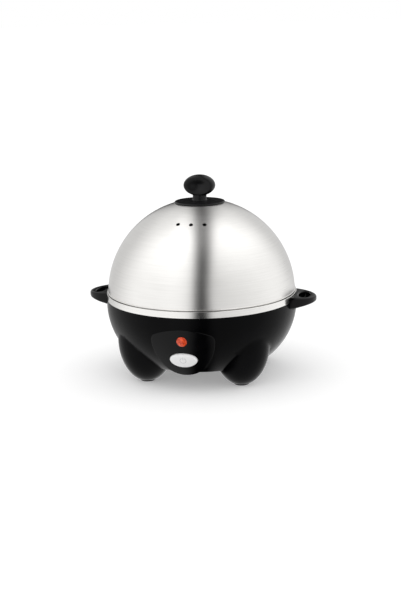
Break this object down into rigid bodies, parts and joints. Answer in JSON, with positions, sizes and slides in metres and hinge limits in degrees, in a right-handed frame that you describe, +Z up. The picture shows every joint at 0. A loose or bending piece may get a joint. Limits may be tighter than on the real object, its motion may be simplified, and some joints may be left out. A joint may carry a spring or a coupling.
{
  "type": "egg steamer",
  "caption": "Counter-top electric egg steamer: brushed steel dome lid with knob and vents over a black bowl-shaped base on egg-shaped legs, with side handles, lamp and power button.",
  "frame": {"origin": "on the table, under the dome's axis, level with the rubber pads' undersides", "axes": "+Z up along the dome's axis, -Y out of the control panel at the front, +X out of the right-hand carrying handle seen from the front"},
  "size_m": [0.2152, 0.1771, 0.1855],
  "materials": {
    "body_black": "satin black moulded plastic",
    "panel_black": "satin black moulded plastic",
    "handle_black": "glossy black moulded plastic",
    "knob_black": "fine-textured black plastic",
    "dome_steel": "brushed round the axis",
    "band_steel": "polished with a faint brushing",
    "pan_aluminium": "spun, satin",
    "tray_black": "matt black plastic",
    "silicone": "grey silicone",
    "foot_rubber": "black rubber",
    "cast_aluminium": "as cast",
    "sheet_steel": "galvanised sheet",
    "zinc_screw": "zinc plated",
    "brass_blade": "bare brass",
    "phenolic": "dark moulded phenolic",
    "nylon_white": "natural nylon",
    "lens_amber": "orange-red moulded lens",
    "neon_glass": "clear glass",
    "button_white": "white satin plastic",
    "spring_steel": "spring wire",
    "wire_brown": "brown insulation",
    "wire_blue": "blue insulation",
    "wire_green": "green and yellow insulation"
  },
  "bodies": {
    "base": {"base_housing": "body_black", "rim_band": "band_steel", "pan_gasket": "silicone", "water_pan": "pan_aluminium", "heater_ring": "cast_aluminium", "heater_element": "sheet_steel", "heater_terminals": "brass_blade", "thermostat": "phenolic", "thermostat_bracket": "sheet_steel", "fuse_clip": "sheet_steel", "thermal_fuse": "nylon_white", "bracket_screws": "zinc_screw", "heat_shield": "sheet_steel", "pan_studs": "zinc_screw", "shield_washers": "zinc_screw", "shield_nuts": "zinc_screw", "earth_lug": "brass_blade", "control_panel": "panel_black", "panel_screws": "zinc_screw", "indicator_lens": "lens_amber", "neon_lamp": "neon_glass", "lamp_leads": "wire_blue", "switch_body": "nylon_white", "switch_terminals": "brass_blade", "switch_spring": "spring_steel", "handle_right": "handle_black", "handle_left": "handle_black", "handle_screws": "zinc_screw", "bottom_cover": "body_black", "bottom_cover_screws": "zinc_screw", "foot_pad_rear_right": "foot_rubber", "foot_pad_rear_left": "foot_rubber", "foot_pad_front_left": "foot_rubber", "foot_pad_front_right": "foot_rubber", "cord_gland": "foot_rubber", "gland_nut": "phenolic", "terminal_block": "nylon_white", "block_screws": "zinc_screw", "wire_feed": "wire_brown", "wire_switched": "wire_brown", "wire_heater": "wire_brown", "wire_return": "wire_blue", "wire_earth": "wire_green"},
    "lid": {"lid_dome": "dome_steel", "knob_gasket": "silicone", "knob_plate": "knob_black", "knob_grip": "knob_black", "knob_washer": "zinc_screw", "knob_screw": "zinc_screw"},
    "tray": {"egg_tray": "tray_black"},
    "button": {"power_button": "button_white"}
  },
  "joints": [
    {"name": "lid_lift", "type": "slide", "parent": "base", "child": "lid", "axis": [0, 0, 1], "range_m": [0, 0.12]},
    {"name": "tray_lift", "type": "slide", "parent": "base", "child": "tray", "axis": [0, 0, 1], "range_m": [0, 0.024]},
    {"name": "power_button_press", "type": "slide", "parent": "base", "child": "button", "axis": [0, 0.9243, 0.3816], "range_m": [0, 0.0022], "stiffness_N_per_m": 900, "springref_m": -0.001, "deforming": ["switch_spring"]}
  ]
}
